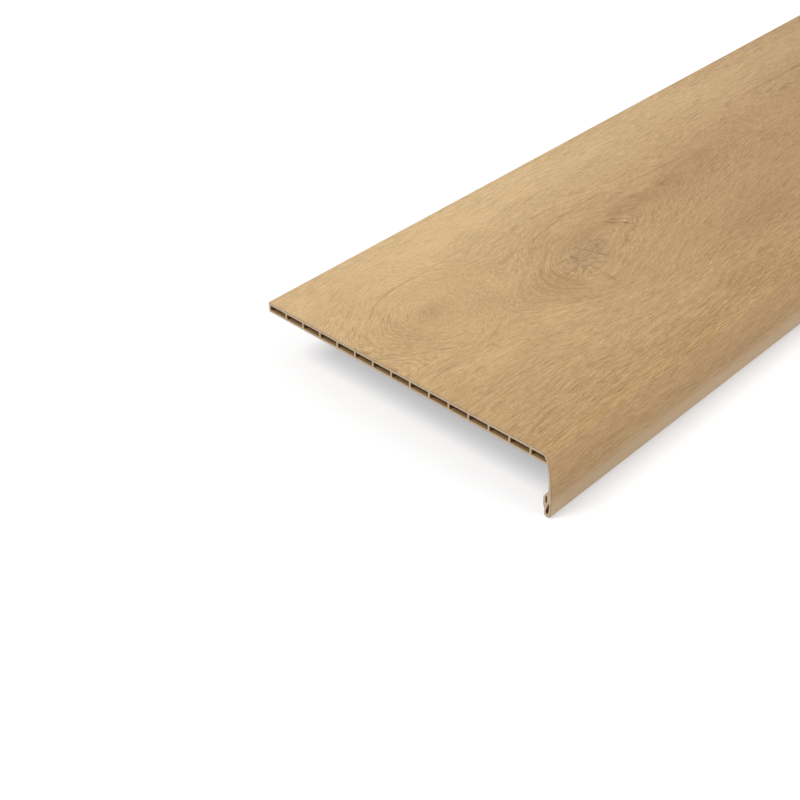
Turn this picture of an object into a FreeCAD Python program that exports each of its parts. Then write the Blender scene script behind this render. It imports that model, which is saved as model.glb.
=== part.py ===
import FreeCAD, Part
import math
import os

# Hollow stair tread: one extruded profile with an integral nose, cut to a sold length.
# Sizes are in millimetres. X runs along the step, the nose is at -Y and +Z is up.
# The origin is the middle of the tread's footprint, level with the bottom of the nose.

# Overall sizes
tread_length = 1000.0
tread_depth = 300.0
nose_height = 57.0

# Hollow panel
panel_thickness = 9.3
top_wall = 2.7
bottom_wall = 2.0
rear_wall = 2.0
web_thickness = 1.9
chamber_pitch = 19.8
chamber_corner_radius = 0.5
rear_top_radius = 0.4
rear_bottom_radius = 1.2

# Nose: a rounded shoulder, a bowed face that runs out upright at its foot, and a thin wall
shoulder_radius = 7.0
nose_face_radius = 200.0
nose_face_foot = 8.0
nose_wall = 2.0
nose_back_depth = 3.5
nose_inner_radius = 1.5

# Bulb along the bottom of the nose, with heights taken from the bottom up
bulb_depth = 7.6
bulb_start_height = 24.6
bulb_flat_top = 18.2
bulb_flat_bottom = 10.6
bulb_corner_radius = 0.5
lip_depth = 6.1
lip_top_height = 6.8

# Narrow slot inside the bulb
slot_width = 1.5
slot_wall = 2.0
slot_bottom_height = 12.9
slot_top_height = 19.3

# Drop-shaped chamber inside the lip, leaning toward the nose's face
drop_tip_wall = 1.7
drop_foot_wall = 2.3
drop_inner_wall = 1.5
drop_floor = 3.0
drop_side_height = 6.4
drop_tip_height = 14.2
drop_bottom_radius = 0.9
drop_side_radius = 0.6
drop_tip_radius = 0.2

# Lines that the sizes above fix
front_y = -tread_depth / 2
rear_y = tread_depth / 2
underside_height = nose_height - panel_thickness
cavity_top = nose_height - top_wall
cavity_bottom = underside_height + bottom_wall
lip_radius = lip_depth / 2
face_centre_y = front_y + nose_face_radius
shoulder_centre_z = nose_height - shoulder_radius


def at(y, z):
    """Point of the section, on the near cut end."""
    return FreeCAD.Vector(-tread_length / 2, y, z)


def toward(start, end):
    """Direction from one point to another, one long."""
    return (end - start).normalize()


def face_y(z, inset):
    """Y of the nose's face at a height, or of the surface a given depth behind it."""
    rise = max(z - nose_face_foot, 0)
    return face_centre_y - math.sqrt((nose_face_radius - inset) ** 2 - rise ** 2)


def round_centre_y(level, inset, radius):
    """Y of the centre of a round that is tangent to a level line and to the bowed face."""
    return face_y(level - radius, inset + radius)


def corner_round(before, corner, after, radius):
    """Start, middle and end of the arc that rounds a corner between two straight lines."""
    back = toward(corner, before)
    on = toward(corner, after)
    half_angle = back.getAngle(on) / 2
    middle_line = (back + on).normalize()
    trim = radius / math.tan(half_angle)
    middle = corner + middle_line * (radius / math.sin(half_angle) - radius)
    return corner + back * trim, middle, corner + on * trim


def level_to_face_round(level, inset, radius):
    """Start, middle and end of the arc that leads from a level line into the bowed face."""
    centre = at(round_centre_y(level, inset, radius), level - radius)
    up = FreeCAD.Vector(0, 0, 1)
    out = toward(at(face_centre_y, nose_face_foot), centre)
    middle = centre + (up + out).normalize() * radius
    return centre + up * radius, middle, centre + out * radius


def face_stretch(start, end, inset):
    """The bowed part of the face, or of the surface behind it, between two of its points."""
    middle_z = (start.z + end.z) / 2
    return start, at(face_y(middle_z, inset), middle_z), end


def nose_back_top():
    """Where the upright back of the nose meets the surface that follows the bowed face."""
    rise = math.sqrt((nose_face_radius - nose_wall) ** 2 - (nose_face_radius - nose_back_depth) ** 2)
    return at(front_y + nose_back_depth, nose_face_foot + rise)


def closed_wire(stretches):
    """Wire through stretches: three points are an arc, one is a corner, and lines join them."""
    edges = []
    for stretch, following in zip(stretches, stretches[1:] + stretches[:1]):
        if len(stretch) == 3:
            edges.append(Part.Arc(*stretch).toShape())
        if stretch[-1].distanceToPoint(following[0]) > 1e-6:
            edges.append(Part.LineSegment(stretch[-1], following[0]).toShape())
    return Part.Wire(edges)


def rounded_loop(corners, radii):
    """Wire through straight-sided corners, each with its own radius."""
    stretches = []
    for i, corner in enumerate(corners):
        before = corners[i - 1]
        after = corners[(i + 1) % len(corners)]
        stretches.append(corner_round(before, corner, after, radii[i]))
    return closed_wire(stretches)


def bulb_and_lip():
    """Stretches from the foot of the nose's face, round the lip and up the back of the bulb."""
    lip_foot = at(front_y + lip_depth, lip_radius)
    lip_top = at(front_y + lip_depth, lip_top_height)
    flat_bottom = at(front_y + bulb_depth, bulb_flat_bottom)
    flat_top = at(front_y + bulb_depth, bulb_flat_top)
    bulb_start = at(front_y + nose_back_depth, bulb_start_height)
    return [
        (at(front_y, lip_radius), at(front_y + lip_radius, 0), lip_foot),
        corner_round(lip_foot, lip_top, flat_bottom, bulb_corner_radius),
        corner_round(lip_top, flat_bottom, flat_top, bulb_corner_radius),
        corner_round(flat_bottom, flat_top, bulb_start, bulb_corner_radius),
        (bulb_start,),
    ]


def outline():
    """Outer outline of the section: panel, shoulder, nose and bulb."""
    rear_top = at(rear_y, nose_height)
    rear_bottom = at(rear_y, underside_height)
    shoulder = level_to_face_round(nose_height, 0, shoulder_radius)
    inner_round = level_to_face_round(underside_height, nose_wall, nose_inner_radius)
    return closed_wire([
        corner_round(rear_bottom, rear_top, shoulder[0], rear_top_radius),
        shoulder,
        face_stretch(shoulder[-1], at(front_y, nose_face_foot), 0),
        *bulb_and_lip(),
        face_stretch(nose_back_top(), inner_round[-1], nose_wall),
        inner_round[::-1],
        corner_round(inner_round[0], rear_bottom, rear_top, rear_bottom_radius),
    ])


def front_wall_y(z):
    """Y of the inside of the nose wall, behind the shoulder above its centre and the face below."""
    if z <= shoulder_centre_z:
        return face_y(z, nose_wall)
    radius = shoulder_radius - nose_wall
    rise = min(z - shoulder_centre_z, radius)
    centre_y = round_centre_y(nose_height, 0, shoulder_radius)
    return centre_y - math.sqrt(radius ** 2 - rise ** 2)


def panel_chambers():
    """The row of chambers, from the rear wall to the one that ends behind the shoulder."""
    chambers = []
    rear = rear_y - rear_wall
    front_top = front_wall_y(cavity_top)
    front_bottom = front_wall_y(cavity_bottom)
    while rear - front_top > web_thickness:
        front = rear - (chamber_pitch - web_thickness)
        last = front - web_thickness < front_top
        corners = [
            at(rear, cavity_bottom),
            at(rear, cavity_top),
            at(front_top if last else front, cavity_top),
            at(front_bottom if last else front, cavity_bottom),
        ]
        chambers.append(rounded_loop(corners, [chamber_corner_radius] * 4))
        if last:
            break
        rear = front - web_thickness
    return chambers


def bulb_slot():
    """Narrow upright slot with round ends, inside the bulb."""
    rear = front_y + bulb_depth - slot_wall
    front = rear - slot_width
    radius = slot_width / 2
    middle = (rear + front) / 2
    low = slot_bottom_height + radius
    high = slot_top_height - radius
    return closed_wire([
        (at(rear, high), at(middle, slot_top_height), at(front, high)),
        (at(front, low), at(middle, slot_bottom_height), at(rear, low)),
    ])


def lip_drop():
    """Drop-shaped chamber whose tip leans to the nose's face."""
    rear = front_y + lip_depth - drop_inner_wall
    corners = [
        at(rear, drop_floor),
        at(rear, drop_side_height),
        at(face_y(drop_tip_height, drop_tip_wall), drop_tip_height),
        at(front_y + drop_foot_wall, drop_floor),
    ]
    radii = [drop_bottom_radius, drop_side_radius, drop_tip_radius, drop_bottom_radius]
    return rounded_loop(corners, radii)


def stair_tread():
    """The whole tread: its section with every chamber, extruded along the step."""
    wires = [outline(), *panel_chambers(), bulb_slot(), lip_drop()]
    section = Part.makeFace(wires, "Part::FaceMakerBullseye")
    return section.extrude(FreeCAD.Vector(tread_length, 0, 0))


def main():
    os.makedirs("parts", exist_ok=True)
    tread = stair_tread()
    tread.exportStep("parts/stair_tread.step")
    print("stair_tread", tread.isValid(), len(tread.Solids), round(tread.Volume), tread.BoundBox)


main()
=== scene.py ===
import math
from collections import namedtuple

import bmesh
import bpy
from bpy.props import FloatProperty, FloatVectorProperty, PointerProperty
from mathutils import Matrix, Vector
from mathutils.geometry import tessellate_polygon


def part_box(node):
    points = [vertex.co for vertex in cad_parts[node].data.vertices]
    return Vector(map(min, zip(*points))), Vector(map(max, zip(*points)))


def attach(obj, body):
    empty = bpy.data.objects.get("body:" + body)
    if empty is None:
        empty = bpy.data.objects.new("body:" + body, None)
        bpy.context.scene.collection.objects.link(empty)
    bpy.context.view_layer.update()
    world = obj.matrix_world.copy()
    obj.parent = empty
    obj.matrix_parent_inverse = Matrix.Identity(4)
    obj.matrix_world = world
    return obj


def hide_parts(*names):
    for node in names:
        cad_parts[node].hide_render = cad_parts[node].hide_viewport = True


bl_info = {
    "name": "Oak decor stair tread",
    "version": (1, 0, 0),
    "blender": (4, 5, 0),
    "location": "View3D > Sidebar > Stair tread",
    "description": "Builds a hollow stair tread with an oak decor film, and a pale stage for it",
    "category": "Object",
}

# Row frame, in metres: X runs along the step, the nose is at -Y and +Z is up.

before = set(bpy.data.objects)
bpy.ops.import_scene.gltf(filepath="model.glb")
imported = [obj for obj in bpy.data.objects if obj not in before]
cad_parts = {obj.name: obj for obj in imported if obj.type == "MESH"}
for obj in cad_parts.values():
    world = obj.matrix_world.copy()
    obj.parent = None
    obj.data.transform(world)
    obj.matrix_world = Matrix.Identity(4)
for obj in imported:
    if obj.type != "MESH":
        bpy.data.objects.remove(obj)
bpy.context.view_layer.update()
node_low, node_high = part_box("stair_tread")

MM = 0.001


def paint(red, green, blue):
    """Linear colour from screen values between 0 and 255."""
    def linear(value):
        share = value / 255
        return share / 12.92 if share <= 0.04045 else ((share + 0.055) / 1.055) ** 2.4
    return linear(red), linear(green), linear(blue)


# Section sizes that stay as they are when the tread is made longer or deeper

BOTTOM_WALL = 2.0 * MM
REAR_WALL = 2.0 * MM
CHAMBER_CORNER_RADIUS = 0.5 * MM
REAR_TOP_RADIUS = 0.4 * MM
REAR_BOTTOM_RADIUS = 1.2 * MM
NOSE_FACE_RADIUS = 200.0 * MM
NOSE_FACE_FOOT = 8.0 * MM
NOSE_WALL = 2.0 * MM
NOSE_BACK_DEPTH = 3.5 * MM
NOSE_INNER_RADIUS = 1.5 * MM
BULB_DEPTH = 7.6 * MM
BULB_START_HEIGHT = 24.6 * MM
BULB_FLAT_TOP = 18.2 * MM
BULB_FLAT_BOTTOM = 10.6 * MM
BULB_CORNER_RADIUS = 0.5 * MM
LIP_DEPTH = 6.1 * MM
LIP_TOP_HEIGHT = 6.8 * MM
SLOT_WIDTH = 1.5 * MM
SLOT_WALL = 2.0 * MM
SLOT_BOTTOM_HEIGHT = 12.9 * MM
SLOT_TOP_HEIGHT = 19.3 * MM
DROP_TIP_WALL = 1.7 * MM
DROP_FOOT_WALL = 2.3 * MM
DROP_INNER_WALL = 1.5 * MM
DROP_FLOOR = 3.0 * MM
DROP_SIDE_HEIGHT = 6.4 * MM
DROP_TIP_HEIGHT = 14.2 * MM
DROP_BOTTOM_RADIUS = 0.9 * MM
DROP_SIDE_RADIUS = 0.6 * MM
DROP_TIP_RADIUS = 0.2 * MM

# Longest turn of one facet, on small rounds and on the nose's bowed face
ROUND_STEP = math.radians(9)
FACE_STEP = math.radians(0.6)

# Points nearer than this are one, and edges that turn by more than this stay sharp
SAME_PLACE = 0.001 * MM
SHARP_TURN = math.radians(28)


class TreadSizes(bpy.types.PropertyGroup):
    """Sizes of the tread's section and length."""

    length: FloatProperty(
        name="Length", description="Length of the tread along the step",
        default=node_high[0] - node_low[0], min=0.05, unit="LENGTH")
    depth: FloatProperty(
        name="Depth", description="Depth of the tread from nose to rear edge",
        default=node_high[1] - node_low[1], min=0.06, unit="LENGTH")
    nose_height: FloatProperty(
        name="Nose height", description="Height of the nose from lip to walking surface",
        default=node_high[2], min=0.045, unit="LENGTH")
    panel_thickness: FloatProperty(
        name="Panel thickness", description="Thickness of the hollow panel",
        default=9.3 * MM, min=0.007, unit="LENGTH")
    top_wall: FloatProperty(
        name="Top wall", description="Thickness of the wall under the walking surface",
        default=2.7 * MM, min=0.001, unit="LENGTH")
    chamber_pitch: FloatProperty(
        name="Chamber pitch", description="Distance from one chamber to the next",
        default=19.8 * MM, min=0.006, unit="LENGTH")
    web_thickness: FloatProperty(
        name="Web thickness", description="Thickness of the webs between chambers",
        default=1.9 * MM, min=0.0005, unit="LENGTH")
    shoulder_radius: FloatProperty(
        name="Shoulder radius", description="Radius where the walking surface turns into the nose",
        default=7.0 * MM, min=0.003, unit="LENGTH")
    film_thickness: FloatProperty(
        name="Film thickness", description="Thickness of the decor film, seen at the cut ends",
        default=0.45 * MM, min=0.0001, unit="LENGTH")
    cut_arris: FloatProperty(
        name="Cut arris", description="Width of the broken edge round the cut ends",
        default=0.12 * MM, min=0.00002, unit="LENGTH")


class TreadFinish(bpy.types.PropertyGroup):
    """Colours and surface of the decor film and of the composite."""

    oak_light: FloatVectorProperty(
        name="Light oak", description="Colour of the palest grain", subtype="COLOR",
        default=paint(228, 196, 147), min=0, max=1)
    oak_middle: FloatVectorProperty(
        name="Middle oak", description="Colour of most of the grain", subtype="COLOR",
        default=paint(187, 153, 107), min=0, max=1)
    oak_dark: FloatVectorProperty(
        name="Dark oak", description="Colour of the darkest grain", subtype="COLOR",
        default=paint(141, 104, 61), min=0, max=1)
    # Foot colour: partly the print's own and partly painted bounce light from the floor
    nose_foot: FloatVectorProperty(
        name="Nose foot", description="Plainer and pinker colour at the foot of the nose",
        subtype="COLOR", default=paint(191, 167, 141), min=0, max=1)
    nose_warm: FloatVectorProperty(
        name="Nose warm", description="Warmer brown on the nose below the shoulder",
        subtype="COLOR", default=paint(198, 152, 94), min=0, max=1)
    knot_heart: FloatVectorProperty(
        name="Knot heart", description="Colour of the middle of the knot", subtype="COLOR",
        default=paint(170, 142, 110), min=0, max=1)
    composite: FloatVectorProperty(
        name="Composite", description="Colour of the bare composite", subtype="COLOR",
        default=paint(212, 188, 158), min=0, max=1)
    skin: FloatVectorProperty(
        name="Skin", description="Colour of the composite's extruded skin", subtype="COLOR",
        default=paint(166, 140, 108), min=0, max=1)
    # Painted shade: darker and browner than the skin, standing in for the shade and warm
    # interreflection inside the chambers
    chamber: FloatVectorProperty(
        name="Chamber", description="Colour of the composite inside the chambers", subtype="COLOR",
        default=paint(150, 118, 78), min=0, max=1)
    film_edge: FloatVectorProperty(
        name="Film edge", description="Colour of the film's edge at a cut end", subtype="COLOR",
        default=paint(128, 106, 84), min=0, max=1)
    oak_roughness: FloatProperty(
        name="Oak roughness", description="Roughness of the decor film", subtype="FACTOR",
        default=0.5, min=0, max=1)
    pore_depth: FloatProperty(
        name="Pore depth", description="Depth of the embossed pores",
        default=0.045 * MM, min=0, unit="LENGTH")


class StageLook(bpy.types.PropertyGroup):
    """Floor and light round the tread."""

    floor_radius: FloatProperty(
        name="Floor radius", description="Radius of the round floor",
        default=6.0, min=1, unit="LENGTH")
    floor_colour: FloatVectorProperty(
        name="Floor colour", description="Colour of the floor where it is seen", subtype="COLOR",
        default=(0.71, 0.695, 0.675), min=0, max=1)
    floor_return: FloatVectorProperty(
        name="Floor return", description="Colour of the light that the floor sends back up",
        subtype="COLOR", default=(0.55, 0.55, 0.56), min=0, max=1)
    floor_glow: FloatVectorProperty(
        name="Floor glow", description="Light added to the floor where the camera sees it",
        subtype="COLOR", default=(0.39, 0.405, 0.425), min=0, max=1)
    sky_above: FloatProperty(
        name="Sky above", description="Light that comes from straight above", default=0.48, min=0)
    sky_level: FloatProperty(
        name="Sky level", description="Light that comes in level with the floor",
        default=0.2, min=0)
    key_strength: FloatProperty(
        name="Key strength", description="Strength of the soft high light from the near end",
        default=2.05, min=0)
    key_spread: FloatProperty(
        name="Key spread", description="Angle that the high light fills, which softens shadows",
        default=math.radians(27), min=0, unit="ROTATION")
    fill_power: FloatProperty(
        name="Fill power", description="Power of the low soft lamp in front of the nose",
        default=15.5, min=0, unit="POWER")
    lens: FloatProperty(
        name="Lens", description="Focal length of the camera on a 36 mm sensor",
        default=64.61, min=10, unit="CAMERA")


# Section

def point(y, z):
    """Point of the section."""
    return Vector((y, z))


def arc(centre, *stops):
    """Points along an arc from stop to stop, each less than half a turn on."""
    points = [stops[0]]
    for start, end in zip(stops, stops[1:]):
        first = start - centre
        last = end - centre
        turn = math.atan2(first.x * last.y - first.y * last.x, first.dot(last))
        count = math.ceil(abs(turn) / ROUND_STEP)
        for i in range(1, count + 1):
            points.append(centre + Matrix.Rotation(turn * i / count, 2) @ first)
    return points


def corner_round(before, corner, after, radius):
    """Points of the arc that rounds a corner between two straight lines."""
    back = (before - corner).normalized()
    on = (after - corner).normalized()
    half_angle = back.angle(on) / 2
    trim = radius / math.tan(half_angle)
    centre = corner + (back + on).normalized() * radius / math.sin(half_angle)
    return arc(centre, corner + back * trim, corner + on * trim)


def rounded_loop(corners, radii):
    """Closed line through straight-sided corners, each with its own radius."""
    points = []
    for i, corner in enumerate(corners):
        after = corners[(i + 1) % len(corners)]
        points += corner_round(corners[i - 1], corner, after, radii[i])
    return points


class Section:
    """The tread's cross-section: a decorated stretch, a bare stretch and the chambers."""

    def __init__(self, sizes):
        self.sizes = sizes
        self.front = -sizes.depth / 2
        self.rear = sizes.depth / 2
        self.top = sizes.nose_height
        self.underside = sizes.nose_height - sizes.panel_thickness
        self.cavity_top = sizes.nose_height - sizes.top_wall
        self.cavity_bottom = self.underside + BOTTOM_WALL
        self.face_centre = point(self.front + NOSE_FACE_RADIUS, NOSE_FACE_FOOT)

    def face_y(self, z, inset):
        """Y of the nose's face at a height, or of the surface a given depth behind it."""
        rise = max(z - NOSE_FACE_FOOT, 0)
        return self.face_centre.x - math.sqrt((NOSE_FACE_RADIUS - inset) ** 2 - rise ** 2)

    def round_centre(self, level, inset, radius):
        """Centre of a round that is tangent to a level line and to the bowed face."""
        return point(self.face_y(level - radius, inset + radius), level - radius)

    def level_to_face(self, level, inset, radius):
        """Points of the arc that leads from a level line into the bowed face."""
        centre = self.round_centre(level, inset, radius)
        out = (centre - self.face_centre).normalized()
        return arc(centre, centre + point(0, radius), centre + out * radius)

    def face_stretch(self, start, end):
        """Points of the bowed face, or of a surface behind it, from start to end."""
        first = start - self.face_centre
        last = end - self.face_centre
        turn = first.angle_signed(last)
        count = math.ceil(abs(turn) / FACE_STEP)
        points = []
        for i in range(count + 1):
            points.append(self.face_centre + Matrix.Rotation(-turn * i / count, 2) @ first)
        return points

    def decorated(self):
        """Outline under the film: rear corner, walking surface, shoulder, face and lip."""
        rear_top = point(self.rear, self.top)
        rear_bottom = point(self.rear, self.underside)
        shoulder = self.level_to_face(self.top, 0, self.sizes.shoulder_radius)
        foot = point(self.front, NOSE_FACE_FOOT)
        lip_radius = LIP_DEPTH / 2
        lip_centre = point(self.front + lip_radius, lip_radius)
        lip = arc(
            lip_centre,
            point(self.front, lip_radius),
            point(self.front + lip_radius, 0),
            point(self.front + LIP_DEPTH, lip_radius),
        )
        corner = corner_round(rear_bottom, rear_top, shoulder[0], REAR_TOP_RADIUS)
        return corner + shoulder + self.face_stretch(shoulder[-1], foot)[1:] + lip

    def bare(self):
        """Outline without film: back of the lip and bulb, nose's back, underside, rear edge."""
        lip_foot = point(self.front + LIP_DEPTH, LIP_DEPTH / 2)
        lip_top = point(self.front + LIP_DEPTH, LIP_TOP_HEIGHT)
        flat_bottom = point(self.front + BULB_DEPTH, BULB_FLAT_BOTTOM)
        flat_top = point(self.front + BULB_DEPTH, BULB_FLAT_TOP)
        bulb_start = point(self.front + NOSE_BACK_DEPTH, BULB_START_HEIGHT)
        outer = NOSE_FACE_RADIUS - NOSE_WALL
        rise = math.sqrt(outer ** 2 - (NOSE_FACE_RADIUS - NOSE_BACK_DEPTH) ** 2)
        back_top = point(self.front + NOSE_BACK_DEPTH, NOSE_FACE_FOOT + rise)
        inner = self.level_to_face(self.underside, NOSE_WALL, NOSE_INNER_RADIUS)[::-1]
        rear_top = point(self.rear, self.top)
        rear_bottom = point(self.rear, self.underside)
        corners = [lip_foot, lip_top, flat_bottom, flat_top, bulb_start]
        bulb = []
        for places in zip(corners, corners[1:], corners[2:]):
            bulb += corner_round(*places, BULB_CORNER_RADIUS)
        return [
            *bulb,
            bulb_start,
            *self.face_stretch(back_top, inner[0])[:-1],
            *inner,
            *corner_round(inner[-1], rear_bottom, rear_top, REAR_BOTTOM_RADIUS),
        ]

    def front_wall_y(self, z):
        """Y of the inside of the nose wall, behind the shoulder or the face."""
        centre = self.round_centre(self.top, 0, self.sizes.shoulder_radius)
        if z <= centre.y:
            return self.face_y(z, NOSE_WALL)
        radius = self.sizes.shoulder_radius - NOSE_WALL
        rise = min(z - centre.y, radius)
        return centre.x - math.sqrt(radius ** 2 - rise ** 2)

    def panel_chambers(self):
        """The row of chambers, from the rear wall to the one behind the shoulder."""
        chambers = []
        web = self.sizes.web_thickness
        rear = self.rear - REAR_WALL
        front_top = self.front_wall_y(self.cavity_top)
        front_bottom = self.front_wall_y(self.cavity_bottom)
        while rear - front_top > web:
            front = rear - (self.sizes.chamber_pitch - web)
            last = front - web < front_top
            corners = [
                point(rear, self.cavity_bottom),
                point(rear, self.cavity_top),
                point(front_top if last else front, self.cavity_top),
                point(front_bottom if last else front, self.cavity_bottom),
            ]
            chambers.append(rounded_loop(corners, [CHAMBER_CORNER_RADIUS] * 4))
            if last:
                break
            rear = front - web
        return chambers

    def bulb_slot(self):
        """Narrow upright slot with round ends, inside the bulb."""
        rear = self.front + BULB_DEPTH - SLOT_WALL
        front = rear - SLOT_WIDTH
        radius = SLOT_WIDTH / 2
        middle = rear - radius
        low = SLOT_BOTTOM_HEIGHT + radius
        high = SLOT_TOP_HEIGHT - radius
        upper = arc(point(middle, high), point(rear, high),
                    point(middle, SLOT_TOP_HEIGHT), point(front, high))
        lower = arc(point(middle, low), point(front, low),
                    point(middle, SLOT_BOTTOM_HEIGHT), point(rear, low))
        return upper + lower

    def lip_drop(self):
        """Drop-shaped chamber whose tip leans to the nose's face."""
        rear = self.front + LIP_DEPTH - DROP_INNER_WALL
        corners = [
            point(rear, DROP_FLOOR),
            point(rear, DROP_SIDE_HEIGHT),
            point(self.face_y(DROP_TIP_HEIGHT, DROP_TIP_WALL), DROP_TIP_HEIGHT),
            point(self.front + DROP_FOOT_WALL, DROP_FLOOR),
        ]
        return rounded_loop(
            corners, [DROP_BOTTOM_RADIUS, DROP_SIDE_RADIUS, DROP_TIP_RADIUS, DROP_BOTTOM_RADIUS])

    def holes(self):
        """Every chamber of the section, with the material of its walls: painted shade in the
        panel's chambers and the lip's drop, bare composite in the slot.
        """
        chambers = [(chamber, CHAMBER_SHADED) for chamber in self.panel_chambers()]
        return [*chambers, (self.bulb_slot(), BARE), (self.lip_drop(), CHAMBER_SHADED)]


def without_doubles(points):
    """The same closed line with points that fall on their neighbour left out."""
    kept = []
    for place in points:
        if not kept or (place - kept[-1]).length > SAME_PLACE:
            kept.append(place)
    if (kept[0] - kept[-1]).length <= SAME_PLACE:
        kept.pop()
    return kept


def turns_left(points):
    """True if a closed line runs anticlockwise."""
    area = 0
    for here, there in zip(points, points[1:] + points[:1]):
        area += here.x * there.y - here.y * there.x
    return area > 0


def shrunk(points, amount):
    """A closed line moved inward by an amount, or outward by a negative one."""
    side = 1 if turns_left(points) else -1
    moved = []
    for i, here in enumerate(points):
        back = (here - points[i - 1]).normalized()
        on = (points[(i + 1) % len(points)] - here).normalized()
        normal = (point(-back.y, back.x) + point(-on.y, on.x)).normalized() * side
        reach = max(normal.dot(point(-on.y, on.x) * side), 0.5)
        moved.append(here + normal * amount / reach)
    return moved


# Tread mesh

# Material slots; the chamber slot holds painted shade for the insides of the chambers and the
# lip's drop
OAK, FILM_EDGE, CUT, BARE, CHAMBER_SHADED = range(5)


class TreadBuilder:
    """Collects the tread's vertices and faces in one closed mesh."""

    def __init__(self, sizes):
        self.mesh = bmesh.new()
        self.sizes = sizes

    def ring(self, points, x):
        """Vertices of a closed line at one place along the step."""
        return [self.mesh.verts.new((x, place.x, place.y)) for place in points]

    def bridge(self, near, far, material_of):
        """Faces between two rings, with a material for each side."""
        count = len(near)
        for i in range(count):
            j = (i + 1) % count
            face = self.mesh.faces.new((near[i], near[j], far[j], far[i]))
            face.material_index = material_of(i)

    def tube(self, points, amount, material_of):
        """Outer wall or chamber wall with a broken edge at both ends; returns the end rings."""
        half = self.sizes.length / 2
        arris = self.sizes.cut_arris
        inner = shrunk(points, amount)
        ends = (self.ring(inner, -half), self.ring(inner, half))
        walls = (self.ring(points, arris - half), self.ring(points, half - arris))
        self.bridge(ends[0], walls[0], material_of)
        self.bridge(walls[0], walls[1], material_of)
        self.bridge(walls[1], ends[1], material_of)
        return ends

    def fill(self, rings, material):
        """Flat face between an outer ring and the rings inside it."""
        places = [[vert.co for vert in ring] for ring in rings]
        verts = [vert for ring in rings for vert in ring]
        for corners in tessellate_polygon(places):
            face = self.mesh.faces.new([verts[i] for i in corners])
            face.material_index = material

    def film_strip(self, outer, inner):
        """Edge of the film at a cut end."""
        for i in range(len(inner) - 1):
            face = self.mesh.faces.new((outer[i], outer[i + 1], inner[i + 1], inner[i]))
            face.material_index = FILM_EDGE

    def build(self):
        """The whole tread."""
        section = Section(self.sizes)
        film = without_doubles(section.decorated())
        outline = without_doubles(film + section.bare())
        film_count = len(film)

        def outside(i):
            return OAK if i < film_count - 1 else BARE

        outer_ends = self.tube(outline, self.sizes.cut_arris, outside)
        hole_ends = []
        for hole, material in section.holes():
            points = without_doubles(hole)
            walls = self.tube(points, -self.sizes.cut_arris, lambda i, kept=material: kept)
            hole_ends.append(walls)
        under_film = shrunk(outline, self.sizes.film_thickness)[:film_count]
        half = self.sizes.length / 2
        for side, x in enumerate((-half, half)):
            outer = outer_ends[side]
            inner = self.ring(under_film, x)
            self.film_strip(outer[:film_count], inner)
            core = [outer[0], *inner, outer[film_count - 1], *outer[film_count:]]
            self.fill([core, *(ends[side] for ends in hole_ends)], CUT)
        bmesh.ops.recalc_face_normals(self.mesh, faces=self.mesh.faces[:])

    def finish(self, name, materials):
        """A new object with the mesh and its materials."""
        for edge in self.mesh.edges:
            if len(edge.link_faces) != 2:
                raise RuntimeError(f"{name}: the mesh is open at {edge.verts[0].co}")
        data = bpy.data.meshes.new(name)
        self.mesh.to_mesh(data)
        self.mesh.free()
        for material in materials:
            data.materials.append(material)
        data.shade_smooth()
        data.set_sharp_from_angle(angle=SHARP_TURN)
        piece = bpy.data.objects.new(name, data)
        bpy.context.scene.collection.objects.link(piece)
        return piece


# Node helpers

GLOSS = 0.35
ROWS = 8
COLUMN_WIDTH = 220
ROW_HEIGHT = 190


class Wire:
    """A number inside a node tree; sums and products of wires become Math nodes."""

    def __init__(self, sheet, socket):
        self.sheet = sheet
        self.socket = socket

    def __add__(self, other):
        return self.sheet.math("ADD", self, other)

    def __sub__(self, other):
        return self.sheet.math("SUBTRACT", self, other)

    def __rsub__(self, other):
        return self.sheet.math("SUBTRACT", other, self)

    def __mul__(self, other):
        return self.sheet.math("MULTIPLY", self, other)

    def __truediv__(self, other):
        return self.sheet.math("DIVIDE", self, other)


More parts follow.
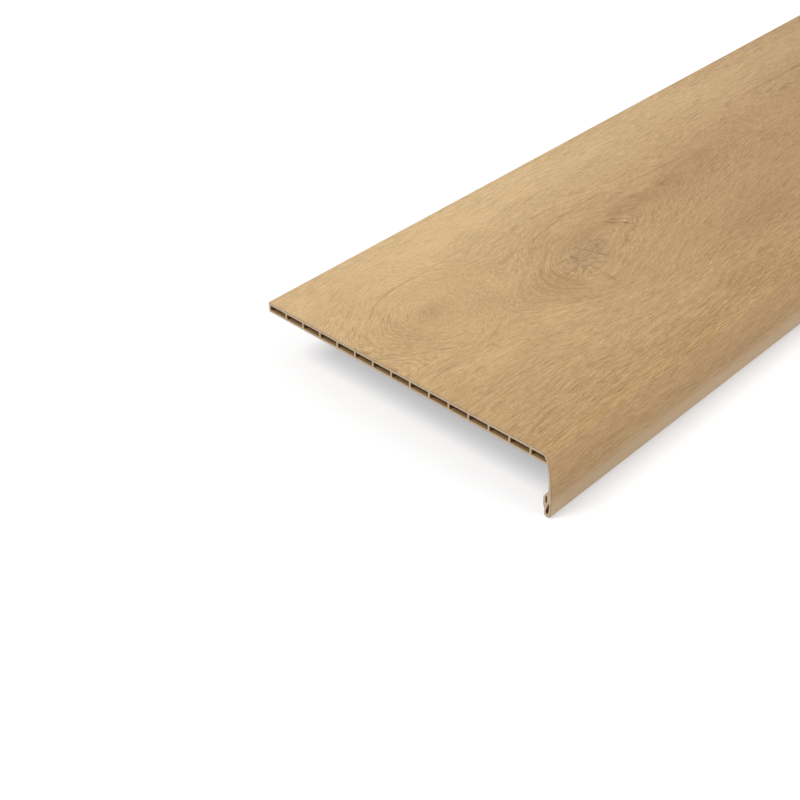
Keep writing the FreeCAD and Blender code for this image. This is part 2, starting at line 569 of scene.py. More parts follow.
class NodeSheet:
    """Adds nodes to a material's or the world's tree and links them."""

    def __init__(self, tree):
        self.tree = tree
        self.count = 0
        tree.nodes.clear()

    def add(self, kind, **settings):
        """A new node, set out in columns."""
        node = self.tree.nodes.new(kind)
        column, row = divmod(self.count, ROWS)
        node.location = (COLUMN_WIDTH * column, -ROW_HEIGHT * row)
        self.count += 1
        for name, value in settings.items():
            setattr(node, name, value)
        return node

    def feed(self, socket, value):
        """Links a wire to a socket, or writes a plain value there."""
        if isinstance(value, Wire):
            self.tree.links.new(value.socket, socket)
        else:
            socket.default_value = value

    def wire(self, node, output=0):
        """A node's output."""
        return Wire(self, node.outputs[output])

    def math(self, operation, *values):
        """A Math node."""
        node = self.add("ShaderNodeMath", operation=operation)
        for socket, value in zip(node.inputs, values):
            self.feed(socket, value)
        return self.wire(node)

    def vector(self, x, y, z):
        """Three numbers as one vector."""
        node = self.add("ShaderNodeCombineXYZ")
        for socket, value in zip(node.inputs, (x, y, z)):
            self.feed(socket, value)
        return self.wire(node)

    def ease(self, value, low, high, from_low=0.0, to_high=1.0):
        """Smooth step from one value to another while the input goes from low to high."""
        node = self.add("ShaderNodeMapRange", interpolation_type="SMOOTHSTEP")
        for socket, number in zip(node.inputs, (value, low, high, from_low, to_high)):
            self.feed(socket, number)
        return self.wire(node)

    def noise(self, place, detail=2.0, roughness=0.5, output=0):
        """Noise about a half, one unit of the place to a lump."""
        node = self.add("ShaderNodeTexNoise", noise_dimensions="3D")
        self.feed(node.inputs["Vector"], place)
        node.inputs["Scale"].default_value = 1.0
        node.inputs["Detail"].default_value = detail
        node.inputs["Roughness"].default_value = roughness
        return self.wire(node, output)

    def mix(self, share, first, second):
        """Blend of two colours."""
        node = self.add("ShaderNodeMix", data_type="RGBA")
        self.feed(node.inputs[0], share)
        for socket, colour in zip(node.inputs[6:8], (first, second)):
            self.feed(socket, colour if isinstance(colour, Wire) else (*colour, 1.0))
        return self.wire(node, 2)

    def place_mm(self):
        """X, Y and Z on the tread in millimetres."""
        coordinates = self.add("ShaderNodeTexCoord")
        scale = self.add("ShaderNodeVectorMath", operation="SCALE")
        self.tree.links.new(coordinates.outputs["Object"], scale.inputs[0])
        scale.inputs["Scale"].default_value = 1 / MM
        split = self.add("ShaderNodeSeparateXYZ")
        self.tree.links.new(scale.outputs[0], split.inputs[0])
        return [self.wire(split, i) for i in range(3)]

    def surface(self, colour, roughness, height, depth, strength=1.0):
        """Plastic surface with its colour, roughness and relief."""
        shader = self.add("ShaderNodeBsdfPrincipled")
        self.feed(shader.inputs["Base Color"], colour)
        self.feed(shader.inputs["Roughness"], roughness)
        shader.inputs["Specular IOR Level"].default_value = GLOSS
        bump = self.add("ShaderNodeBump")
        bump.inputs["Strength"].default_value = strength
        bump.inputs["Distance"].default_value = depth
        self.feed(bump.inputs["Height"], height)
        self.tree.links.new(bump.outputs[0], shader.inputs["Normal"])
        output = self.add("ShaderNodeOutputMaterial")
        self.tree.links.new(shader.outputs[0], output.inputs["Surface"])


def new_material(name):
    """An empty node material and the sheet that fills it."""
    material = bpy.data.materials.new(name)
    material.use_nodes = True
    return material, NodeSheet(material.node_tree)


# Oak decor: places on the walking surface are x along the step and v across it, in millimetres.
# Down the nose, v goes on below the front edge, so the grain runs over the shoulder.

Knot = namedtuple("Knot", "x v above below left right climb point")
Spot = namedtuple("Spot", "x v half_length half_width tilt softness", defaults=[0.9])
Stroke = namedtuple("Stroke", "length width across strength")

# Knots that the grain flows round: centre, size of the eye above and below it, how far the eye
# is drawn out to the left and to the right, how steeply its long axis climbs, and how pointed
# it is to its right and far to its left (2 is round, 1 is a sharp point)
MAIN_KNOT = Knot(x=-264, v=4, above=54, below=54, left=1.3, right=3.7, climb=0.13, point=1.35)
SMALL_KNOT = Knot(x=-420, v=42, above=54, below=58, left=1.1, right=0.9, climb=0.0, point=1.7)
KNOT_BLEND = 20

# Stretches beside a knot: where its axis climbs, its eye changes, and its ends turn pointed
CLIMB_START = -50.0
CLIMB_END = 310.0
SIZE_TURN = 30
STRETCH_TURN = 25
RIGHT_POINT = (-20, 70)
LEFT_POINT = (-90, -150)

# Drift of the grain: size of its waves along and across the step, and how far it moves
DRIFT_LENGTH = 110.0
DRIFT_WIDTH = 55.0
DRIFT_ALONG = 20.0
DRIFT_ACROSS = 14.0

# The grain behind the knots rises by this much, from left to right and from front to rear
RISE = 20
RISE_ALONG = (-540, -200)
RISE_ACROSS = (20, 150)

# Strokes in millimetres: length along the step, width across it and width across the grain,
# and how much they lighten or darken the print
BROAD_RING = Stroke(420.0, 300.0, 10.0, 0.07)
NARROW_RING = Stroke(90.0, 60.0, 1.9, 0.06)
PRINTED = Stroke(8.0, 5.0, 0.45, 0.68)
EMBOSSED = Stroke(20.0, 9.0, 0.55, 0.36)
PORE = Stroke(26.0, 14.0, 0.8, 0.18)
STRAND = Stroke(30.0, 18.0, 1.7, 0.07)

# Strokes that run straight along the step: length, width and strength
LOOSE_LENGTH, LOOSE_WIDTH, LOOSE_STRENGTH = 3.0, 0.42, 0.46
STRAIGHT_LENGTH, STRAIGHT_WIDTH, STRAIGHT_STRENGTH = 12.0, 0.4, 0.7
STREAK_LENGTH, STREAK_WIDTH, STREAK_STRENGTH = 40.0, 1.1, 0.24
LOOSE_LEAN = 0.02

# Rings are clearer round the main knot. The narrow ones are clearer at other places too, each by
# its own share: left of that knot, round the small knot and toward the point
NEAR_KNOT = Spot(-275, 5, 95, 60, 5, 0.6)
BROAD_NEAR_KNOT = 0.1
NARROW_NEAR_KNOT = 0.08
CLEAR_RINGS = [
    (Spot(-324, 12, 40, 46, 0, 0.6), 0.25),
    (Spot(-470, 36, 24, 56, 0, 0.7), 0.13),
    (Spot(-100, 30, 90, 30, 6, 0.7), 0.12),
]

# Strokes are plainer round the small knot, between the knots and along the axis
EYE_PLAIN = Spot(-390, 26, 42, 40, 0, 0.6)
SADDLE = Spot(-350, 25, 24, 46, 0, 0.6)
AXIS = Spot(250, 46, 330, 9, 0, 0.6)
POINT_AXIS = Spot(-110, 24, 105, 5, 7.4, 0.6)
PLAIN_FADE = 0.6
PLAIN_LOOSE = 0.3

# Strokes are straight toward the front and rear edges, where those along the grain fade
FRONT = (10, -110)
REAR = (90, 140)
SIDES_FADE = 0.64

# Level of the print, its soft clouds, and painted shade that darkens it away from the near end,
# standing in for lamp fall-off
MEAN_TONE = 0.485
CLOUD_LENGTH, CLOUD_WIDTH, CLOUD_STRENGTH = 130.0, 46.0, 0.25
AWAY = (-480, 330)
AWAY_PAINTED_SHADE = 0.13

# The nose: streaky shoulder, warmer brown below it, and a plain, pinker foot that is lighter
# partly in its print and partly by painted bounce light from the floor, with more painted bounce
# light at the lip
SHOULDER = Spot(0, -154, 2000, 22, 0)
BELOW_SHOULDER = Spot(0, -163, 2000, 17, 0, 0.8)
FOOT = (-182, -202)
LIP = (-191, -203)
FOOT_LIGHTER_AND_PAINTED_BOUNCE, LIP_PAINTED_BOUNCE = 0.19, 0.1
FOOT_SHARE, WARM_SHARE = 0.6, 0.27

# Strokes are stronger on the front and the shoulder, and much fainter on the foot
FRONT_STROKES, SHOULDER_STROKES, FOOT_STROKES = 0.12, 0.1, 0.85

# Relief of the printed strokes and of the pores, where embossed strokes have 1, and how much
# rougher those are
PRINTED_RELIEF, PORE_RELIEF = 0.5, 0.6
EMBOSSED_ROUGHNESS = 0.3

# Noise levels between which a pore begins
PORE_EDGE = (0.16, 0.26)

# Heart of the main knot: its wood, the rim that its cracks cross, and the hub that they leave
HEART = Spot(-258, 5, 28, 15, 16, 0.45)
HEART_RIM = Spot(-272, 2, 31, 20, 10, 0.3)
HEART_HUB = Spot(-260, 6, 20, 12, 16, 0.5)
CRACK_CENTRE = (-262, 5)
CRACK_TILT = 16
CRACK_SQUASH = 1.6
CRACK_COUNT = 17.0
CRACK_LENGTH = 7.0
CRACK_EDGE, CRACK_SHARE = (0.53, 0.6), 0.4
GLINT_EDGE, GLINT_SHARE = (0.47, 0.4), 0.2

# Mauve blotches in the heart, and the crackle of dark veins over them
BLOTCH_LENGTH, BLOTCH_WIDTH = 5.0, 4.0
BLOTCH_RANGE = (0.35, 0.62, 0.2, 0.75)
CRACKLE_LENGTH, CRACKLE_WIDTH, CRACKLE_BEND = 4.4, 3.4, 1.5
VEIN_EDGE, VEIN_SHARE = (0.12, 0.02), 0.75
VEIN_BLOTCHES = (0.42, 0.6)

# Soft shades of the print, and painted light: the broad lighter ones toward the rear and the near
# end partly paint in the top being lit more brightly there. Columns: x, v, half length, half
# width, tilt in degrees, darkening, and edge softness where it is less than a spot's usual one
SHADES_OF_PRINT_AND_LIGHT = [
    (-418, 42, 17, 12, 10, 0.13, 0.8),
    (-322, -8, 34, 15, 100, 0.11),
    (-300, -36, 26, 12, -20, 0.04),
    (-138, 30, 62, 15, 4, 0.05, 0.8),
    (-60, 28, 70, 17, 0, 0.06),
    (-215, 38, 20, 7, 20, 0.03, 0.8),
    (-232, -2, 70, 30, 8, 0.02),
    (60, 5, 160, 60, 0, 0.03),
    (-410, 126, 190, 50, 4, -0.28),
    (-60, 124, 260, 42, 0, -0.27),
    (-450, 5, 130, 62, 0, -0.17),
    (-330, -34, 40, 26, 0, -0.08),
    (-305, 2, 17, 10, 95, 0.16),
    (-192, 16, 20, 10, -50, 0.03),
    (-180, -40, 30, 12, 8, 0.05),
    (-60, -50, 60, 20, 8, 0.05),
    (-300, -131, 300, 13, 0, 0.07),
    (0, -181, 600, 10, 0, 0.10),
    (-180, 68, 90, 22, 0, -0.10),
    (-420, 68, 80, 20, 0, -0.06),
    (-110, -90, 110, 42, 0, 0.08),
    (-425, -36, 36, 9, 10, -0.09),
    (-395, 18, 38, 12, -8, 0.07),
    (-453, 40, 34, 8, 90, 0.07),
    (-336, -8, 18, 12, 110, 0.09),
    (-206, 36, 16, 9, 0, -0.12),
    (-320, 42, 22, 14, 20, -0.09),
    (-243, 42, 26, 9, 10, -0.07),
    (-120, 44, 26, 7, 0, -0.07),
    (-362, -8, 16, 16, 0, 0.09),
    (-190, -110, 50, 22, 0, 0.05),
    (-182, 30, 12, 6, 0, 0.10, 0.7),
    (-150, 31, 6, 6, 0, 0.07, 0.7),
    (-112, 33, 17, 6, 0, 0.02),
    (-488, 118, 14, 30, 0, -0.07),
    (0, 60, 24, 12, 0, -0.07),
    (-120, 62, 22, 10, 0, 0.06),
    (-365, 18, 22, 10, 0, 0.06),
    (30, -8, 40, 16, 5, 0.05),
    (-44, 38, 15, 7, 10, 0.07, 0.7),
    (-245, 128, 50, 8, 0, 0.06),
    (-185, 118, 24, 7, 0, 0.06),
]

# Short marks, dark ones and three light ones: x, v, half length, half width, tilt, darkening
MARKS = [
    (-257, 8, 4.0, 0.8, -75, 0.50),
    (-256, 2, 3.8, 0.8, -78, 0.60),
    (-254, -6, 5.0, 0.7, -71, 0.48),
    (-275, 9, 3.2, 1.6, -77, 0.75),
    (-276, 5, 2.4, 1.0, 68, 0.68),
    (-274, 0, 1.8, 0.9, -27, 0.52),
    (-246, 8, 2.8, 0.8, 40, 0.33),
    (-246, 6, 5.0, 0.8, 30, 0.33),
    (-236, 8, 4.0, 0.7, 80, 0.42),
    (-260, 16, 4.0, 0.8, -78, 0.33),
    (-275, -10, 2.6, 0.8, -69, 0.42),
    (-287, -4, 5.5, 0.6, 37, 0.30),
    (-283, -8, 6.0, 0.6, 39, 0.32),
    (-284, 12, 3.7, 0.6, -28, 0.30),
    (-278, -33, 7.5, 0.8, 79, 0.38),
    (-281, -32, 6.5, 0.7, 81, 0.28),
    (-204, 21, 4.2, 1.4, -53, 0.32),
    (-207, 26, 3.0, 1.2, -50, 0.22),
    (-196, 12, 2.6, 1.5, -71, 0.45),
    (-194, 8, 3.4, 0.8, -55, 0.28),
    (-188, 5, 3.0, 0.8, 36, 0.22),
    (-200, 1, 9.0, 0.8, 18, 0.24),
    (-219, -6, 8.0, 1.2, 34, 0.18),
    (-199, 25, 3.0, 1.4, -40, 0.20),
    (-194, 15, 1.6, 1.2, 0, -0.38),
    (-196, 26, 6.5, 0.9, -30, -0.15),
    (-187, 18, 5.0, 0.9, -57, -0.12),
    (-181, 14, 6.0, 1.0, -62, 0.16),
    (-421, -29, 5, 0.9, 88, 0.17),
    (-450, -3, 29, 1.2, -31, 0.10),
    (-401, -13, 20, 1.1, 20, 0.09),
    (-408, 88, 26, 1.1, 1, 0.17),
    (-352, 88, 36, 1.2, 2, 0.12),
    (-446, 81, 15, 1.2, 22, 0.10),
    (-105, -14, 70, 0.9, 9, 0.08),
    (-225, 61, 60, 0.9, 8, 0.08),
    (-95, 51, 38, 0.8, -4, 0.10),
    (150, 79, 55, 1.2, -2, 0.16),
]
MARK_SOFTNESS = 0.5


def knot_field(sheet, x, v, knot):
    """Distance across the grain from a knot: rings round the eye that open into long lines."""
    along = x - knot.x
    across = v - knot.v
    if knot.climb:
        run = sheet.math("MINIMUM", sheet.math("MAXIMUM", along, CLIMB_START), CLIMB_END)
        across = across - run * knot.climb
    size = sheet.ease(across, -SIZE_TURN, SIZE_TURN, knot.below, knot.above)
    stretch = sheet.ease(along, -STRETCH_TURN, STRETCH_TURN, knot.left, knot.right)
    reach = along / (stretch * size)
    open_share = 1.0 - sheet.math("EXPONENT", (reach * reach) * -1.0)
    ends = sheet.math("SQRT", open_share) * size
    drawn = sheet.math(
        "MAXIMUM", sheet.ease(along, *RIGHT_POINT), sheet.ease(along, *LEFT_POINT))
    power = 2.0 - drawn * (2.0 - knot.point)
    sides = sheet.math("POWER", sheet.math("ABSOLUTE", across), power)
    total = sides + sheet.math("POWER", ends, power)
    return sheet.math("POWER", total, sheet.math("DIVIDE", 1.0, power))


def turned(x, v, centre_x, centre_v, tilt):
    """Coordinates along and across a line through a centre."""
    angle = math.radians(tilt)
    dx = x - centre_x
    dv = v - centre_v
    along = dx * math.cos(angle) + dv * math.sin(angle)
    across = dv * math.cos(angle) - dx * math.sin(angle)
    return along, across


def spot(sheet, x, v, place):
    """One inside a tilted ellipse and zero outside, with a soft edge."""
    along, across = turned(x, v, place.x, place.v, place.tilt)
    along = along * (1 / place.half_length)
    across = across * (1 / place.half_width)
    distance = sheet.math("SQRT", along * along + across * across)
    return sheet.ease(distance, 1 + place.softness, max(1 - place.softness, 0), 0, 1)


class OakPrint:
    """The decor's print: the course of its grain, how light each place is, and its colour."""

    def __init__(self, sheet):
        self.sheet = sheet
        self.x, y, z = sheet.place_mm()
        self.v = y + z - node_high[2] / MM
        place = sheet.vector(self.x / DRIFT_LENGTH, self.v / DRIFT_WIDTH, 0.0)
        drift = sheet.add("ShaderNodeSeparateColor")
        sheet.feed(drift.inputs[0], sheet.noise(place, 1.0, output="Color"))
        self.bent_x = self.x + (sheet.wire(drift, 0) - 0.5) * DRIFT_ALONG
        self.bent_v = self.v + (sheet.wire(drift, 1) - 0.5) * DRIFT_ACROSS
        rise = sheet.ease(self.x, *RISE_ALONG, 0, RISE) * sheet.ease(self.v, *RISE_ACROSS)
        self.main = knot_field(sheet, self.bent_x, self.bent_v - rise, MAIN_KNOT)
        small = knot_field(sheet, self.bent_x, self.bent_v - rise, SMALL_KNOT)
        self.field = sheet.math("SMOOTH_MIN", self.main, small, KNOT_BLEND)
        self.foot = sheet.ease(self.v, *FOOT)
        self.embossed = self.stroke(EMBOSSED, 0.0, 40.0, 0.0)
        self.printed = self.stroke(PRINTED, 1.0)

    def spot(self, place):
        """A spot at a fixed place."""
        return spot(self.sheet, self.x, self.v, place)

    def bent_spot(self, place):
        """A spot that drifts with the grain."""
        return spot(self.sheet, self.bent_x, self.bent_v, place)

    def noise(self, x, y, z, detail, roughness=0.5):
        """Noise about zero; a plain number for z only picks a slice of it."""
        return self.sheet.noise(self.sheet.vector(x, y, z), detail, roughness) - 0.5

    def ring(self, size, detail):
        """Noise in rings that follow the grain."""
        across = self.field / size.across
        return self.noise(across, self.x / size.length, self.v / size.width, detail, 0.6)

    def stroke(self, size, detail, shift_x=0.0, shift_v=0.0):
        """Noise in strokes that follow the grain."""
        along = self.x / size.length + shift_x
        beside = self.v / size.width + shift_v
        return self.noise(along, beside, self.field / size.across, detail)

    def rings(self):
        """Growth rings: faint broad ones, and narrow ones that are clearer round the knots."""
        near_knot = self.bent_spot(NEAR_KNOT)
        broad = near_knot * BROAD_NEAR_KNOT + BROAD_RING.strength
        narrow = near_knot * NARROW_NEAR_KNOT + NARROW_RING.strength
        for place, clearer in CLEAR_RINGS:
            narrow = narrow + self.bent_spot(place) * clearer
        return self.ring(BROAD_RING, 2.0) * broad + self.ring(NARROW_RING, 1.0) * narrow

    def plainness(self):
        """Share of plain print, where strokes that follow the grain are faint."""
        share = self.bent_spot(POINT_AXIS)
        for place in (EYE_PLAIN, SADDLE, AXIS):
            share = self.sheet.math("MAXIMUM", share, self.spot(place))
        return share

    def pores(self, plainness):
        """Long open pores, left out of the plain places."""
        lines = self.stroke(PORE, 0.0, 0.0, 9.0)
        return self.sheet.ease(lines, *PORE_EDGE) * (1.0 - plainness)

    def strokes(self, front, plainness, pores):
        """Pores and strokes: some follow the grain, and others run straight along the step."""
        sides = self.sheet.math("MAXIMUM", front, self.sheet.ease(self.v, *REAR))
        leaning = self.v - self.x * LOOSE_LEAN
        loose = self.noise(self.x / LOOSE_LENGTH, leaning / LOOSE_WIDTH, 4.2, 0.0)
        straight = self.noise(self.x / STRAIGHT_LENGTH, self.v / STRAIGHT_WIDTH, 8.6, 0.0)
        strands = self.stroke(STRAND, 2.0, 0.0, 7.3)
        following = self.printed * PRINTED.strength + self.embossed * EMBOSSED.strength
        tone = following * (1.0 - plainness * PLAIN_FADE - sides * SIDES_FADE)
        tone = tone + loose * (plainness * PLAIN_LOOSE + LOOSE_STRENGTH)
        tone = tone + straight * (sides * STRAIGHT_STRENGTH)
        return tone - pores * PORE.strength + strands * STRAND.strength

    def tone(self, plainness, pores):
        """How light the print is, from zero to one, with painted shade and painted light in it."""
        sheet = self.sheet
        front = sheet.ease(self.v, *FRONT)
        shoulder = self.spot(SHOULDER)
        streaks = self.noise(self.x / STREAK_LENGTH, self.v / STREAK_WIDTH, 1.7, 2.0, 0.6)
        clouds = self.noise(self.x / CLOUD_LENGTH, self.v / CLOUD_WIDTH, 3.7, 2.0)
        tone = self.rings() + clouds * CLOUD_STRENGTH + streaks * shoulder * STREAK_STRENGTH
        # Painted shade: darker away from the near end, in place of lamp fall-off
        tone = tone + MEAN_TONE - sheet.ease(self.x, *AWAY) * AWAY_PAINTED_SHADE
        share = front * FRONT_STROKES + shoulder * SHOULDER_STROKES - self.foot * FOOT_STROKES
        tone = tone + self.strokes(front, plainness, pores) * (share + 1.0)
        # Lighter foot: partly plainer print, partly painted bounce light from the floor; the lip
        # adds painted bounce light only
        tone = tone + self.foot * FOOT_LIGHTER_AND_PAINTED_BOUNCE + sheet.ease(self.v, *LIP) * LIP_PAINTED_BOUNCE
        # Shades of the print; the broad lighter ones toward the rear and the near end partly paint
        # in brighter light there
        for x, v, length, width, tilt, darkening, *softness in SHADES_OF_PRINT_AND_LIGHT:
            shade = self.bent_spot(Spot(x, v, length, width, tilt, *softness))
            tone = tone - shade * darkening
        for *place, darkening in MARKS:
            tone = tone - self.spot(Spot(*place, MARK_SOFTNESS)) * darkening
        return tone

    def oak_colour(self, tone, finish):
        """Colour of the oak for a tone, from dark through middle to light."""
        ramp = self.sheet.add("ShaderNodeValToRGB")
        self.sheet.feed(ramp.inputs[0], tone)
        stops = ramp.color_ramp.elements
        stops[0].position = 0.0
        stops[0].color = (*finish.oak_dark, 1)
        stops[1].position = 1.0
        stops[1].color = (*finish.oak_light, 1)
        stops.new(0.5).color = (*finish.oak_middle, 1)
        return self.sheet.wire(ramp)

    def with_heart(self, colour, finish):
        """The colour with the main knot's heart: mauve wood, a crackle and cracks at its rim."""
        sheet = self.sheet
        heart = self.bent_spot(HEART)
        place = sheet.vector(self.x / BLOTCH_LENGTH, self.v / BLOTCH_WIDTH, 9.1)
        blotches = sheet.noise(place, 3.0, 0.6)
        along, across = turned(self.bent_x, self.bent_v, *CRACK_CENTRE, CRACK_TILT)
        angle = sheet.math("ARCTAN2", across * CRACK_SQUASH, along)
        place = sheet.vector(angle * CRACK_COUNT, self.main / CRACK_LENGTH, 1.3)
        rays = sheet.noise(place, 1.0, 0.6)
        rim = self.bent_spot(HEART_RIM) * (1.0 - self.bent_spot(HEART_HUB))
        cracks = sheet.ease(rays, *CRACK_EDGE) * rim
        glints = sheet.ease(rays, *GLINT_EDGE) * rim
        crackle = sheet.add("ShaderNodeTexVoronoi", feature="DISTANCE_TO_EDGE")
        bend = blotches * CRACKLE_BEND
        place = sheet.vector(self.x / CRACKLE_LENGTH, self.v / CRACKLE_WIDTH, bend)
        sheet.feed(crackle.inputs["Vector"], place)
        crackle.inputs["Scale"].default_value = 1.0
        veins = sheet.ease(sheet.wire(crackle), *VEIN_EDGE) * heart
        veins = veins * sheet.ease(blotches, *VEIN_BLOTCHES)
        mauve = heart * sheet.ease(blotches, *BLOTCH_RANGE)
        colour = sheet.mix(mauve, colour, finish.knot_heart)
        colour = sheet.mix(cracks * CRACK_SHARE, colour, finish.oak_dark)
        colour = sheet.mix(veins * VEIN_SHARE, colour, finish.oak_dark)
        return sheet.mix(glints * GLINT_SHARE, colour, finish.oak_light)


def oak_material(finish):
    """Oak decor film with its knots, rings, pores and embossed relief."""
    material, sheet = new_material("oak_decor_film")
    oak = OakPrint(sheet)
    plainness = oak.plainness()
    pores = oak.pores(plainness)
    colour = oak.oak_colour(oak.tone(plainness, pores), finish)
    colour = oak.with_heart(colour, finish)
    colour = sheet.mix(oak.spot(BELOW_SHOULDER) * WARM_SHARE, colour, finish.nose_warm)
    # Foot colour: partly the print's plainer, pinker end and partly painted bounce light from the
    # floor
    colour = sheet.mix(oak.foot * FOOT_SHARE, colour, finish.nose_foot)
    roughness = oak.embossed * EMBOSSED_ROUGHNESS + finish.oak_roughness
    height = oak.embossed + oak.printed * PRINTED_RELIEF - pores * PORE_RELIEF
    sheet.surface(colour, roughness, height, finish.pore_depth)
    return material


# Composite: its fine wood fibres and their clumps in millimetres, and how dark and light they are
FIBRE_SIZE = 0.5
CLUMP_LENGTH = 6.0
CLUMP_WIDTH = 3.0
FIBRE_DARK = 0.72
FIBRE_LIGHT = 1.22

# Saw marks on the cut ends, and lines along the extruded skin, in millimetres
SAW_MARK_WIDTH = 0.7
SAW_MARK_LENGTH = 14.0
SAW_MARK_LEAN = 0.35
SAW_MARK_DEPTH = 0.05 * MM
SKIN_STRETCH = 12.0
SKIN_LINE_LENGTH = 500.0
SKIN_LINE_WIDTH = 1.1
SKIN_LINE_DEPTH = 0.04 * MM


def composite_colour(sheet, place, base, contrast):
    """Composite with fine wood fibres in it."""
    x, y, z = place
    fine = sheet.noise(sheet.vector(x / FIBRE_SIZE, y / FIBRE_SIZE, z / FIBRE_SIZE), 2.0, 0.6)
    coarse = sheet.noise(sheet.vector(x / CLUMP_LENGTH, y / CLUMP_WIDTH, z / CLUMP_WIDTH))
    share = (fine - 0.5) * contrast + (coarse - 0.5) * contrast + 0.5
    dark = [value * FIBRE_DARK for value in base]
    light = [min(value * FIBRE_LIGHT, 1) for value in base]
    return sheet.mix(share, dark, light), fine


def cut_material(finish):
    """Sawn composite at the cut ends, with faint saw marks."""
    material, sheet = new_material("sawn_composite")
    x, y, z = sheet.place_mm()
    colour, fine = composite_colour(sheet, (x, y, z), finish.composite, 0.8)
    leaning = y + z * SAW_MARK_LEAN
    place = sheet.vector(leaning / SAW_MARK_WIDTH, z / SAW_MARK_LENGTH, x)
    height = fine * 0.5 + sheet.noise(place, 2.0, 0.6)
    sheet.surface(colour, 0.7, height, SAW_MARK_DEPTH, 0.6)
    return material


def bare_material(name, base):
    """Bare extruded composite, with faint lines along the step."""
    material, sheet = new_material(name)
    x, y, z = sheet.place_mm()
    colour, fine = composite_colour(sheet, (x / SKIN_STRETCH, y, z), base, 0.6)
    place = sheet.vector(x / SKIN_LINE_LENGTH, y / SKIN_LINE_WIDTH, z / SKIN_LINE_WIDTH)
    lines = sheet.noise(place, 3.0, 0.6)
    roughness = (lines - 0.5) * 0.2 + 0.55
    sheet.surface(colour, roughness, lines + fine * 0.2, SKIN_LINE_DEPTH, 0.7)
    return material


def film_edge_material(finish):
    """Edge of the film at a cut end."""
    material, sheet = new_material("film_edge")
    x, y, z = sheet.place_mm()
    fine = sheet.noise(sheet.vector(x / 0.4, y / 0.6, z / 0.6), 2.0, 0.6)
    dark = [value * 0.7 for value in finish.film_edge]
    colour = sheet.mix(fine, dark, finish.film_edge)
    sheet.surface(colour, 0.6, fine, 0.02 * MM)
    return material


# Stage

FLOOR_SIDES = 96
KEY_FROM = Vector((-0.62, 0.36, 1.0))
FILL_AIM = Vector((-0.2, -0.15, 0.03))
FILL_PLACE = Vector((0.0, -1.8, 0.25))
FILL_SIZE = 1.2

# Camera: its place, and the directions to the right and up in its picture
CAMERA_PLACE = Vector((-1.14137, -0.61831, 0.69993))
CAMERA_RIGHT = Vector((0.68912509, -0.72457012, -0.01023469))
CAMERA_UP = Vector((0.44010168, 0.40726841, 0.8002768))
SENSOR_MM = 36
NEAREST_SEEN = 0.01


def floor_material(look):
    """Pale floor that shows the tread's soft shadow on white."""
    material, sheet = new_material("pale_floor")
    diffuse = sheet.add("ShaderNodeBsdfDiffuse")
    path = sheet.add("ShaderNodeLightPath")
    rays = [sheet.wire(path, name) for name in ("Is Camera Ray", "Is Glossy Ray")]
    seen = sheet.math("MAXIMUM", *rays)
    sheet.feed(diffuse.inputs["Color"], sheet.mix(seen, look.floor_return, look.floor_colour))
    glow = sheet.add("ShaderNodeEmission")
    sheet.feed(glow.inputs["Color"], (*look.floor_glow, 1.0))
    sheet.feed(glow.inputs["Strength"], seen)
    both = sheet.add("ShaderNodeAddShader")
    sheet.tree.links.new(diffuse.outputs[0], both.inputs[0])
    sheet.tree.links.new(glow.outputs[0], both.inputs[1])
    output = sheet.add("ShaderNodeOutputMaterial")
    sheet.tree.links.new(both.outputs[0], output.inputs["Surface"])
    return material


def make_floor(look):
    """Round floor level with the bottom of the nose."""
    mesh = bmesh.new()
    bmesh.ops.create_circle(mesh, cap_ends=True, segments=FLOOR_SIDES, radius=look.floor_radius)
    data = bpy.data.meshes.new("floor")
    mesh.to_mesh(data)
    mesh.free()
    data.materials.append(floor_material(look))
    floor = bpy.data.objects.new("floor", data)
    bpy.context.scene.collection.objects.link(floor)


def make_world(look):
    """Soft light from all round, most of it from above, and white where it is seen."""
    world = bpy.data.worlds.new("studio")
    world.use_nodes = True
    bpy.context.scene.world = world
    sheet = NodeSheet(world.node_tree)
    path = sheet.add("ShaderNodeLightPath")
    names = ("Is Camera Ray", "Is Glossy Ray", "Is Transmission Ray")
    rays = [sheet.wire(path, name) for name in names]
    seen = sheet.math("MAXIMUM", sheet.math("MAXIMUM", rays[0], rays[1]), rays[2])
    direction = sheet.add("ShaderNodeSeparateXYZ")
    coordinates = sheet.add("ShaderNodeTexCoord")
    sheet.tree.links.new(coordinates.outputs["Generated"], direction.inputs[0])
    sky = sheet.ease(sheet.wire(direction, 2), 0, 1, look.sky_level, look.sky_above)
    background = sheet.add("ShaderNodeBackground")
    sheet.feed(background.inputs["Strength"], sky + seen * (1.0 - sky))
    background.inputs["Color"].default_value = (1, 1, 1, 1)
    output = sheet.add("ShaderNodeOutputWorld")
    sheet.tree.links.new(background.outputs[0], output.inputs["Surface"])


def hang_lamp(light, place, toward):
    """Lamp at a place that shines in a direction."""
    lamp = bpy.data.objects.new(light.name, light)
    lamp.location = place
    lamp.rotation_euler = toward.to_track_quat("-Z", "Y").to_euler()
    lamp.visible_camera = False
    bpy.context.scene.collection.objects.link(lamp)


def make_lamps(look):
    """High soft light from the near end, and a low round lamp in front of the nose."""
    key = bpy.data.lights.new("key_lamp", "SUN")
    key.energy = look.key_strength
    key.angle = look.key_spread
    hang_lamp(key, KEY_FROM, -KEY_FROM)
    fill = bpy.data.lights.new("fill_lamp", "AREA")
    fill.shape = "DISK"
    fill.size = FILL_SIZE
    fill.energy = look.fill_power
    hang_lamp(fill, FILL_PLACE, FILL_AIM - FILL_PLACE)


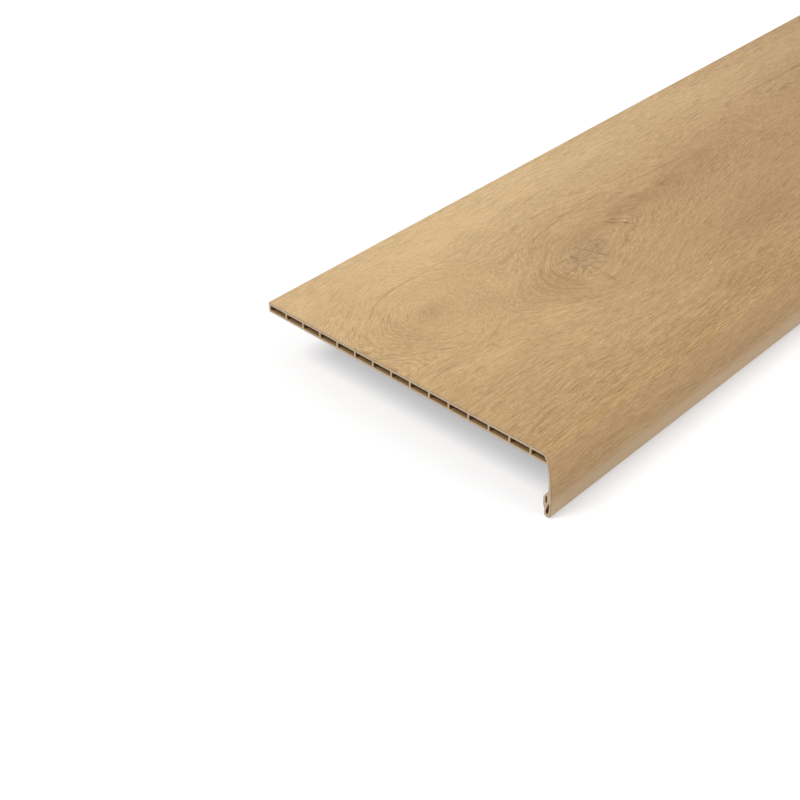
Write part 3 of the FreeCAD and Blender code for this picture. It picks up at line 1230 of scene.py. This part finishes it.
def make_camera(look):
    """Camera over the near cut end, looking along the step and a little across it."""
    data = bpy.data.cameras.new("camera")
    data.lens = look.lens
    data.sensor_width = SENSOR_MM
    data.clip_start = NEAREST_SEEN
    camera = bpy.data.objects.new("camera", data)
    turn = Matrix((CAMERA_RIGHT, CAMERA_UP, CAMERA_RIGHT.cross(CAMERA_UP))).transposed()
    camera.matrix_world = Matrix.Translation(CAMERA_PLACE) @ turn.to_4x4()
    bpy.context.scene.collection.objects.link(camera)
    bpy.context.scene.camera = camera


# Operators and panel

class OBJECT_OT_stair_tread(bpy.types.Operator):
    """Builds the hollow stair tread with its oak decor film"""

    bl_idname = "object.stair_tread_build"
    bl_label = "Build tread"

    def execute(self, context):
        sizes = context.scene.tread_sizes
        finish = context.scene.tread_finish
        builder = TreadBuilder(sizes)
        builder.build()
        materials = [
            oak_material(finish),
            film_edge_material(finish),
            cut_material(finish),
            bare_material("extruded_composite", finish.skin),
            # Painted shade: darker, browner composite inside the chambers and the lip's drop
            bare_material("chamber_painted_shade", finish.chamber),
        ]
        tread = builder.finish("tread", materials)
        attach(tread, "root")
        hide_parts("stair_tread")
        return {"FINISHED"}


class OBJECT_OT_tread_stage(bpy.types.Operator):
    """Sets up the pale floor, the soft light and the camera"""

    bl_idname = "object.stair_tread_stage"
    bl_label = "Build stage"

    def execute(self, context):
        look = context.scene.stage_look
        make_floor(look)
        make_world(look)
        make_lamps(look)
        make_camera(look)
        context.scene.view_settings.view_transform = "Standard"
        return {"FINISHED"}


class VIEW3D_PT_stair_tread(bpy.types.Panel):
    """Sizes, finish and stage of the stair tread"""

    bl_label = "Stair tread"
    bl_space_type = "VIEW_3D"
    bl_region_type = "UI"
    bl_category = "Stair tread"

    def draw(self, context):
        scene = context.scene
        groups = {
            "Sizes": scene.tread_sizes, "Finish": scene.tread_finish, "Stage": scene.stage_look}
        for title, group in groups.items():
            box = self.layout.box()
            box.label(text=title)
            for name in group.__annotations__:
                box.prop(group, name)
        self.layout.operator(OBJECT_OT_stair_tread.bl_idname)
        self.layout.operator(OBJECT_OT_tread_stage.bl_idname)


classes = (
    TreadSizes,
    TreadFinish,
    StageLook,
    OBJECT_OT_stair_tread,
    OBJECT_OT_tread_stage,
    VIEW3D_PT_stair_tread,
)


def register():
    """Registers the classes and hangs their settings on the scene."""
    for item in classes:
        bpy.utils.register_class(item)
    bpy.types.Scene.tread_sizes = PointerProperty(type=TreadSizes)
    bpy.types.Scene.tread_finish = PointerProperty(type=TreadFinish)
    bpy.types.Scene.stage_look = PointerProperty(type=StageLook)


def unregister():
    """Takes the settings and the classes away again."""
    del bpy.types.Scene.stage_look
    del bpy.types.Scene.tread_finish
    del bpy.types.Scene.tread_sizes
    for item in reversed(classes):
        bpy.utils.unregister_class(item)


def main():
    """Builds the tread and the stage."""
    register()
    bpy.ops.object.stair_tread_build()
    bpy.ops.object.stair_tread_stage()


if __name__ == "__main__":
    main()
